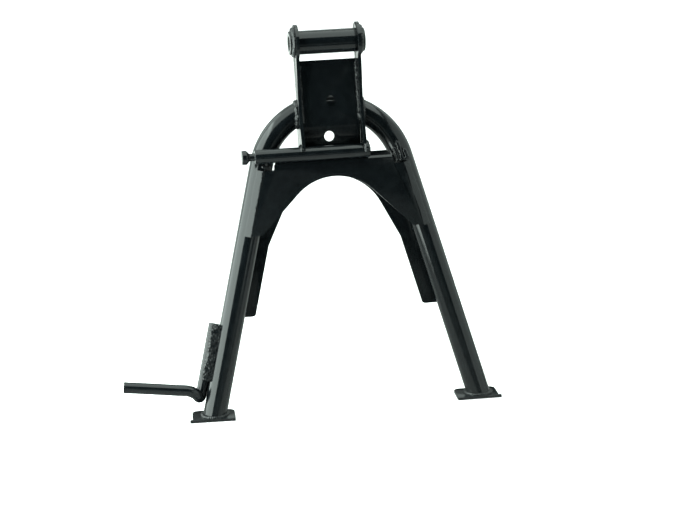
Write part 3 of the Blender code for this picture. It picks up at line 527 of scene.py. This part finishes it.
def rod(name, points, radius, sides, swell=None, closed=False):
    """A round rod along a line; swell gives a factor on the radius for each point."""
    line = bpy.data.curves.new(name, "CURVE")
    line.dimensions = "3D"
    line.bevel_depth = radius
    line.bevel_resolution = sides // 2 - 2
    line.use_fill_caps = not closed
    spline = line.splines.new("POLY")
    spline.points.add(len(points) - 1)
    for index, point in enumerate(points):
        spline.points[index].co = (*point, 1.0)
        spline.points[index].radius = swell[index] if swell else 1.0
    spline.use_cyclic_u = closed
    piece = bpy.data.objects.new(name, line)
    bpy.context.scene.collection.objects.link(piece)
    only(piece)
    bpy.ops.object.convert(target="MESH")
    piece = bpy.context.object
    edit(piece)
    bpy.ops.mesh.remove_doubles(threshold=0.5 * MERGE)
    bpy.ops.mesh.normals_make_consistent(inside=False)
    only(piece)
    return piece


def beside_leg(height):
    """A point of the lever's axis where it runs down the left leg, a little behind its side."""
    out = LEVER_REACH * math.cos(LEVER_AROUND)
    back = LEVER_REACH * math.sin(LEVER_AROUND)
    return Vector((leg_axis(height, -1.0) - out / math.cos(SPLAY), back, height))


# %% Bend the lever
elbow = beside_leg(LEVER_ELBOW)
bends = [elbow]
for across, back, up in (
    (-3.0, -0.4, -10.5),
    (-6.0, -3.4, -17.0),
    (-10.6, -7.2, -12.4),
    (-18.4, -8.9, -8.7),
    (-31.0, -9.4, -6.9),
    (-45.2, -8.9, -4.9),
    (-85.2, -5.9, 0.2),
):
    bends.append(elbow + Vector((across, back, up)) * MM)
foot_lever = rod("foot_lever_rod", [beside_leg(LEVER_TOP)] + through(bends, 10), LEVER_RADIUS, 48)
rounded(foot_lever, SAWN_EDGE, angle=50.0)
lean_back(foot_lever)
finished(foot_lever, "foot_lever", tube_enamel)

# %% [markdown]
# ## Weld beads
# A bead is a row of frozen puddles, one every 2 mm or so. No two are equally long or high, and the
# hand strays a little between them. Each bead is a line whose radius swells over every puddle, and a
# Displace modifier then roughens it with lumps of spatter. It sinks into both pieces, because the
# real one has fused with them. Chance draws the puddles, from a seed that each bead keeps, so that
# the same beads come out every time. BEAD_STEP sets the points apart along a bead, DRIFT is the share
# by which a bead slowly grows and shrinks, and PRESSED_SHARE how much of what stands proud of a level
# fillet is taken off.

# %% Puddles and spatter
BEAD_STEP = 0.4 * MM
DRIFT = 0.06
DRIFT_LENGTH = 6.5 * MM
PRESSED_SHARE = 0.85
spatter = bpy.data.textures.new("frozen_spatter", "CLOUDS")
spatter.noise_scale = 1.6 * MM
spatter.noise_depth = 2
spatter.contrast = 1.8


def evenly(points, spacing, closed=False):
    """Points set out evenly along a line."""
    points = [Vector(point) for point in points]
    if closed:
        points.append(points[0])
    lengths = [(b - a).length for a, b in zip(points, points[1:])]
    count = max(int(round(sum(lengths) / spacing)), 4)
    result = []
    for step in range(count + (0 if closed else 1)):
        target = sum(lengths) * step / count
        index = 0
        while index < len(lengths) - 1 and target > lengths[index]:
            target -= lengths[index]
            index += 1
        result.append(points[index].lerp(points[index + 1], min(target / lengths[index], 1.0)))
    return result


def puddles(total, pitch, chance):
    """Frozen puddles along a bead: where each starts, its length, its height and its side step."""
    result = []
    run = 0.0
    while run < total:
        length = pitch * chance.uniform(0.7, 1.4)
        result.append((run, length, chance.uniform(0.6, 1.3), chance.uniform(-0.25, 0.25) * MM))
        run += length
    return result


def press(piece, point, normal):
    """Press what stands proud of a plane nearly flat, as a fillet that was filled level."""
    point = Vector(point)
    normal = Vector(normal).normalized()
    for vertex in piece.data.vertices:
        over = (vertex.co - point).dot(normal)
        if over > 0.0:
            vertex.co -= PRESSED_SHARE * over * normal


print("a bead has a ring of points every", round(BEAD_STEP / MM, 2), "mm")

# %% [markdown]
# A bead needs a line, a radius and a seed. The rest has usual values: pitch is the length of a
# puddle, ripple how far puddles stand out, lumps the height of the spatter, and tip the radius that
# is left at an open end. A level fillet is pressed to a plane, and a cut trims it along one.


# %% Lay a bead
def bead(
    name,
    points,
    size,
    seed,
    pitch=1.9 * MM,
    closed=False,
    cuts=(),
    flat=None,
    lumps=0.5 * MM,
    ripple=0.13,
    tip=0.35,
):
    """A rippled bead; cuts are planes (point, normal) whose normal side is trimmed off."""
    chance = random.Random(seed)
    spots = evenly(points, BEAD_STEP, closed)
    total = BEAD_STEP * len(spots)
    row = puddles(total, pitch, chance)
    swell = []
    for index, spot in enumerate(spots):
        run = BEAD_STEP * index
        start, length, height, aside = [puddle for puddle in row if puddle[0] <= run][-1]
        dome = math.sqrt(max(1.0 - (2.0 * (run - start) / length - 1.0) ** 2, 0.0))
        drift = DRIFT * math.sin(run / DRIFT_LENGTH + seed)
        end = 1.0 if closed else min(1.0, tip + min(run, total - run) / (0.9 * size))
        swell.append((1.01 - ripple + ripple * height * dome + drift) * end)
        spot += Vector((aside, 0.0, 0.5 * aside))
    piece = rod(name, spots, size, 36, swell, closed)
    if flat:
        press(piece, *flat)
    rough = piece.modifiers.new("lumps", "DISPLACE")
    rough.texture = spatter
    rough.texture_coords = "LOCAL"
    rough.strength = lumps
    bpy.ops.object.modifier_apply(modifier=rough.name)
    for point, normal in cuts:
        edit(piece)
        bpy.ops.mesh.bisect(plane_co=point, plane_no=normal, use_fill=True, clear_outer=True)
    only(piece)
    lean_back(piece)
    return piece


def weld(name, points, size, seed, paint=weld_enamel, **more):
    """Lay a bead, paint it and let it stand for its solid."""
    finished(bead(name, points, size, seed, **more), name, paint, sharp=60.0)


# %% [markdown]
# The rings round the pivot tube were welded from above, so they are heavier on top. Each is trimmed
# flush with the lug's outer face, or it would come out on the lug's inside.

# %% Rings round the pivot tube
RING_STEPS = 72
RING_OUT = 0.2 * MM
HEAVIER_ON_TOP = 0.5 * MM
for name, side, seed in (("left_pivot_weld", -1.0, 0.5), ("right_pivot_weld", 1.0, 2.6)):
    face = side * (LUG_FACE + TOUCH)
    ring = []
    for step in range(RING_STEPS):
        angle = 2.0 * math.pi * step / RING_STEPS
        reach = TUBE_RADIUS + RING_OUT + HEAVIER_ON_TOP * math.sin(angle)
        ring.append((face, reach * math.cos(angle) - PIVOT_FORWARD, PIVOT_RISE + reach * math.sin(angle)))
    cut = ((face, 0.0, 0.0), (-side, 0.0, 0.0))
    weld(name, ring, size=3.4 * MM, seed=seed, closed=True, cuts=(cut,))

# %% [markdown]
# The lugs are held by three more kinds of bead: an upright one in the corner with the bridge plate, a
# curved one over the front of the arch, and one round the cross bar. Apart from the lever's strip they
# are the roughest beads of the stand, so they get high lumps.

# %% Fillets between the bridge plate and the lugs
FRONT = -(TUBE_RADIUS + TOUCH + SHEET)
LUG_INSIDE = LUG_FACE - LUG_PLATE
BRIDGE_BEAD_BOTTOM = 58.3 * MM
BRIDGE_BEAD_TOP = 122.5 * MM
for name, side, seed in (("left_bridge_weld", -1.0, 1.3), ("right_bridge_weld", 1.0, 2.1)):
    line = [(side * LUG_INSIDE, FRONT, height) for height in (BRIDGE_BEAD_BOTTOM, BRIDGE_BEAD_TOP)]
    weld(name, line, size=2.7 * MM, seed=seed, pitch=3.0 * MM, lumps=1.3 * MM, ripple=0.3)

# %% Beads over the front of the arch
ARCH_MIDDLE = math.sqrt(ARCH_RADIUS**2 - LUG_FACE**2)
ARCH_BEAD_TURN = 144.0
ARCH_BEAD_STEPS = 14
for name, side, seed in (("left_arch_weld", -1.0, 0.4), ("right_arch_weld", 1.0, 3.3)):
    line = []
    for step in range(ARCH_BEAD_STEPS + 1):
        angle = math.radians(-ARCH_BEAD_TURN / 2.0 + ARCH_BEAD_TURN * step / ARCH_BEAD_STEPS)
        rise = TUBE_RADIUS * math.sin(angle) * ARCH_RADIUS / ARCH_MIDDLE
        line.append((side * LUG_FACE, -TUBE_RADIUS * math.cos(angle), ARCH_MIDDLE + rise))
    weld(name, line, size=3.5 * MM, seed=seed, lumps=1.2 * MM, ripple=0.2)

# %% Beads round the cross bar
BAR_BEAD_STEPS = 12
for name, side, first, last, size in (
    ("left_bar_weld", -1.0, 20.0, 165.0, 2.6 * MM),
    ("right_bar_weld", 1.0, -20.0, 200.0, 3.3 * MM),
):
    line = []
    for step in range(BAR_BEAD_STEPS + 1):
        angle = math.radians(first + (last - first) * step / BAR_BEAD_STEPS)
        y = BAR_RADIUS * math.cos(angle) - BAR_FORWARD
        line.append((side * LUG_FACE, y, BAR_RISE + BAR_RADIUS * math.sin(angle)))
    weld(name, line, size=size, seed=4.0 + side, lumps=0.9 * MM)

# %% [markdown]
# The front gusset's shoulders are welded across the round of the tube. A point there is easiest to
# give as on a map: how far up the tube, and how far around it. The left bead runs straight across.
# The right one weaves: four times it goes up the tube and comes back beside itself, and each of these
# strokes leaves one broad ridge. A stroke is given by the degrees around the tube at its foot and at
# its head, and by its reach up the tube.


# %% Points on the tube
def tube_point(side, run, around):
    """A point on the tube: run up its axis from the bend's start, around it from the front outwards."""
    angle = SPLAY + max(run, 0.0) / ARCH_RADIUS
    outward = Vector((math.cos(angle), 0.0, math.sin(angle)))
    down_leg = Vector((math.sin(SPLAY), 0.0, -math.cos(SPLAY)))
    around = math.radians(around)
    point = outward * (ARCH_RADIUS + TUBE_RADIUS * math.sin(around)) + down_leg * max(-run, 0.0)
    point.y = -TUBE_RADIUS * math.cos(around)
    point.x *= side
    return point


print("front of the left leg at the bend's start:", [round(c / MM, 1) for c in tube_point(-1.0, 0.0, 0.0)])

# %% Beads on the shoulders
LOW = -3.5 * MM
HIGHER = LOW + 0.7 * MM
straight = ((LOW, -42.0), (HIGHER, -30.0), (LOW, -18.0), (HIGHER, -7.0), (LOW, 4.0))
strokes = (
    (-49.0, -48.0, 4.0 * MM),
    (-31.0, -28.0, 10.5 * MM),
    (-11.0, -3.0, 15.5 * MM),
    (14.0, 14.0, 5.0 * MM),
)
weaved = [(LOW, -56.0)]
for foot, head, reach in strokes:
    part_way = 0.6 * foot + 0.4 * head
    weaved += [
        (LOW, foot - 1.0),
        (0.4 * reach, part_way - 1.0),
        (reach, head),
        (0.4 * reach, part_way + 3.0),
        (LOW, foot + 4.0),
    ]
weaved.append((LOW + 1.0 * MM, 24.0))
for name, side, turns in (("left_shoulder_weld", -1.0, straight), ("right_shoulder_weld", 1.0, weaved)):
    line = through([tube_point(side, run, around) for run, around in turns], 4)
    weld(name, line, size=2.2 * MM, seed=2.0 + side, lumps=0.12 * MM, ripple=0.07)

# %% The bead under the cross bar
line = [tube_point(-1.0, run, around) for run, around in ((1.2 * MM, 12.0), (0.6 * MM, 24.0), (0.0, 36.0))]
weld("bar_leg_weld", line, size=2.9 * MM, seed=0.9)

# %% [markdown]
# Where the side of the front gusset lies on the round tube, a wedge stays open between them. A long
# fillet fills it level, and shows as a flat sloping strip as smooth as the tube. It is a fat bead,
# pressed to a sloping plane and trimmed where the sheet begins. The rear gusset has a common bead.


# %% Long fillets beside the gussets
FILLET_SLOPE = math.radians(28.0)
FILLET_EDGE = 2.8 * MM
FILLET_FRONT = -15.7 * MM
FILLET_AXIS = -10.8 * MM


def leg_line(side, outward, y, heights):
    """Points beside a leg's axis, set outwards from it by a distance."""
    return [(leg_axis(height, side) + side * outward / math.cos(SPLAY), y, height) for height in heights]


for side_name, side in (("left", -1.0), ("right", 1.0)):
    outward = Vector((side * math.cos(SPLAY), 0.0, math.sin(SPLAY)))
    edge = Vector((leg_axis(0.0, side), FILLET_FRONT, 0.0)) - FILLET_EDGE * outward
    slope = outward * math.sin(FILLET_SLOPE) - Vector((0.0, math.cos(FILLET_SLOPE), 0.0))
    weld(
        side_name + "_front_gusset_weld",
        leg_line(side, 0.0, FILLET_AXIS, (-56.0 * MM, -20.0 * MM, 12.5 * MM)),
        size=5.2 * MM,
        seed=1.0 + side,
        paint=tube_enamel,
        pitch=6.0 * MM,
        cuts=((edge, -outward),),
        flat=(edge, slope),
        lumps=0.12 * MM,
        ripple=0.03,
        tip=1.0,
    )
    line = leg_line(side, 4.0 * MM, TUBE_RADIUS, (-140.0 * MM, -70.0 * MM, -2.0 * MM))
    weld(side_name + "_rear_gusset_weld", line, size=2.7 * MM, seed=3.0 + side)

# %% [markdown]
# A leg meets its foot plate at a slant, so the ring between them is an ellipse. Its points are found
# by running down the leg from a circle until the plate's top is reached. The lever lies along the
# leg, and the groove between the two was filled by one wide strip, level in front and rough.

# %% Rings on the feet
FOOT_RING_STEPS = 36
for side_name, side in (("left", -1.0), ("right", 1.0)):
    upright = Vector((0.0, -math.sin(LEAN), math.cos(LEAN)))
    down_leg = Vector((side * math.sin(SPLAY), 0.0, -math.cos(SPLAY)))
    across = Vector((math.cos(SPLAY), 0.0, side * math.sin(SPLAY)))
    ring = []
    for step in range(FOOT_RING_STEPS):
        angle = 2.0 * math.pi * step / FOOT_RING_STEPS
        spot = Vector((leg_axis(0.0, side), 0.0, 0.0)) + across * TUBE_RADIUS * math.cos(angle)
        spot.y += TUBE_RADIUS * math.sin(angle)
        spot += down_leg * (PLATE_TOP + TOUCH - spot.dot(upright)) / down_leg.dot(upright)
        ring.append(spot)
    weld(side_name + "_foot_weld", ring, size=2.4 * MM, seed=1.7 + side, closed=True)

# %% The strip between the lever and the leg
STRIP_OUT = 15.4 * MM
STRIP_AXIS = -2.9 * MM
STRIP_FRONT = -6.1 * MM
STRIP_TOP = LEVER_TOP - 1.0 * MM
STRIP_LENGTH = 58.0 * MM
STRIP_STEPS = 11
heights = [STRIP_TOP - STRIP_LENGTH * step / STRIP_STEPS for step in range(STRIP_STEPS + 1)]
line = leg_line(-1.0, STRIP_OUT, STRIP_AXIS, heights)
level = ((0.0, STRIP_FRONT, 0.0), (0.0, -1.0, 0.0))
weld(
    "foot_lever_weld",
    line,
    size=5.6 * MM,
    seed=0.2,
    pitch=3.4 * MM,
    flat=level,
    lumps=1.5 * MM,
    tip=0.7,
)

# %% [markdown]
# ## Floor and light
# Black gloss shows what is around it rather than itself. A tall bright panel near the left side, with
# a weaker one behind it, draws the light flank on each tube. A long panel on the right, one overhead
# and two far behind keep the other sides readable, and a low card in front lifts the rear gusset. The
# rest of the front is a dark room, which leaves the front faces black. The white ground runs on for
# metres and would put white into every face that is seen at a slant. So the wide floor is switched
# off for glossy rays, and two smaller glowing sheets, seen by glossy rays alone, take its place: one
# for the grey of the undersides, and a brighter strip far back for the lugs' flanks.

# %% Pale floor with a sweep behind
LAMP_WHITE = "#f0fff9"
SHEET_WHITE = "#f2fff8"
FLOOR = -STAND_HEIGHT - TOUCH
only()
bpy.ops.mesh.primitive_plane_add(size=1.0, location=(0.0, -8.0, FLOOR))
floor = bpy.context.object
floor.name = "studio_floor"
floor.scale = (44.0, 24.0, 1.0)
apply_place(floor)
edit(floor, lambda co: co.y > 0.0)
bpy.ops.mesh.extrude_region_move(TRANSFORM_OT_translate={"value": (0.0, 1.0, 0.35)})
bpy.ops.mesh.extrude_region_move(TRANSFORM_OT_translate={"value": (0.0, 0.3, 3.0)})
only(floor)
rounded(floor, 0.6, segments=12, angle=5.0)
bpy.ops.object.shade_smooth()
floor.visible_glossy = False
print("floor below the pivot:", round(-FLOOR / MM, 1), "mm")


# %% What the gloss sees instead of the floor
def sheet_for_gloss(name, across, back, width, depth, above):
    """A level sheet over the floor that glossy rays alone can see."""
    only()
    bpy.ops.mesh.primitive_plane_add(size=1.0, location=(across, back, FLOOR + above))
    sheet = bpy.context.object
    sheet.name = name
    sheet.scale = (width, depth, 1.0)
    apply_place(sheet)
    sheet.visible_camera = False
    sheet.visible_diffuse = False
    sheet.visible_shadow = False
    return sheet


glow = sheet_for_gloss("floor_in_the_gloss", 0.0, 1.31, 5.0, 3.78, 0.1 * MM)
strip = sheet_for_gloss("bright_strip_in_the_gloss", -0.5, 1.55, 1.1, 2.2, 1.0 * MM)


def white_paint(name, code, glow_code, strength):
    """Matt white with a glow of its own, for the studio."""
    paint = bpy.data.materials.new(name)
    paint.use_nodes = True
    shader = paint.node_tree.nodes["Principled BSDF"]
    shader.inputs["Base Color"].default_value = from_hex(code)
    shader.inputs["Roughness"].default_value = 0.9
    shader.inputs["Specular IOR Level"].default_value = 0.0
    shader.inputs["Emission Color"].default_value = from_hex(glow_code)
    shader.inputs["Emission Strength"].default_value = strength
    return paint


floor.data.materials.append(white_paint("matt_white_studio_paint", "#f4f5f5", "#ffffff", 0.5))
glow.data.materials.append(white_paint("lit_white_sheet", "#000000", SHEET_WHITE, 0.8))
strip.data.materials.append(white_paint("bright_white_sheet", "#000000", SHEET_WHITE, 1.7))


# %% Soft panels round a dark front
def panel(name, place, aim, width, height, radiance):
    """A soft panel of an even brightness, facing the point it is aimed at."""
    light = bpy.data.lights.new(name, "AREA")
    light.shape = "RECTANGLE"
    light.size = width
    light.size_y = height
    light.color = from_hex(LAMP_WHITE)[:3]
    light.energy = radiance * math.pi * width * height
    lamp = bpy.data.objects.new(name, light)
    bpy.context.scene.collection.objects.link(lamp)
    lamp.location = place
    lamp.rotation_euler = (Vector(aim) - Vector(place)).to_track_quat("-Z", "Y").to_euler()


panel("left_wall", (-0.42, -0.14, 0.0), (0.0, -0.14, 0.0), 0.62, 0.72, 6.3)
panel("left_wall_back", (-0.42, 0.46, 0.07), (0.0, 0.46, 0.07), 0.58, 0.86, 1.6)
panel("right_panel", (2.2, -0.9, 0.75), (0.0, -0.9, 0.75), 6.6, 2.0, 1.1)
panel("top_panel", (0.0, -0.1, 2.4), (0.0, -0.1, 0.0), 5.0, 3.8, 2.6)
panel("back_panel", (0.0, 3.3, 2.1), (0.0, 3.0, 2.0), 8.0, 1.7, 1.2)
panel("low_back_panel", (-0.6, 3.3, 0.75), (0.0, 0.0, 0.5), 5.0, 1.0, 0.22)
panel("front_card", (0.0, -1.0, -0.275), (0.0, 0.0, -0.275), 2.0, 0.21, 0.24)
room = bpy.data.worlds.new("dark_room")
room.use_nodes = True
room.node_tree.nodes["Background"].inputs["Color"].default_value = from_hex("#2a3030")
room.node_tree.nodes["Background"].inputs["Strength"].default_value = 0.4
bpy.context.scene.world = room
bpy.context.scene.view_settings.view_transform = "Standard"
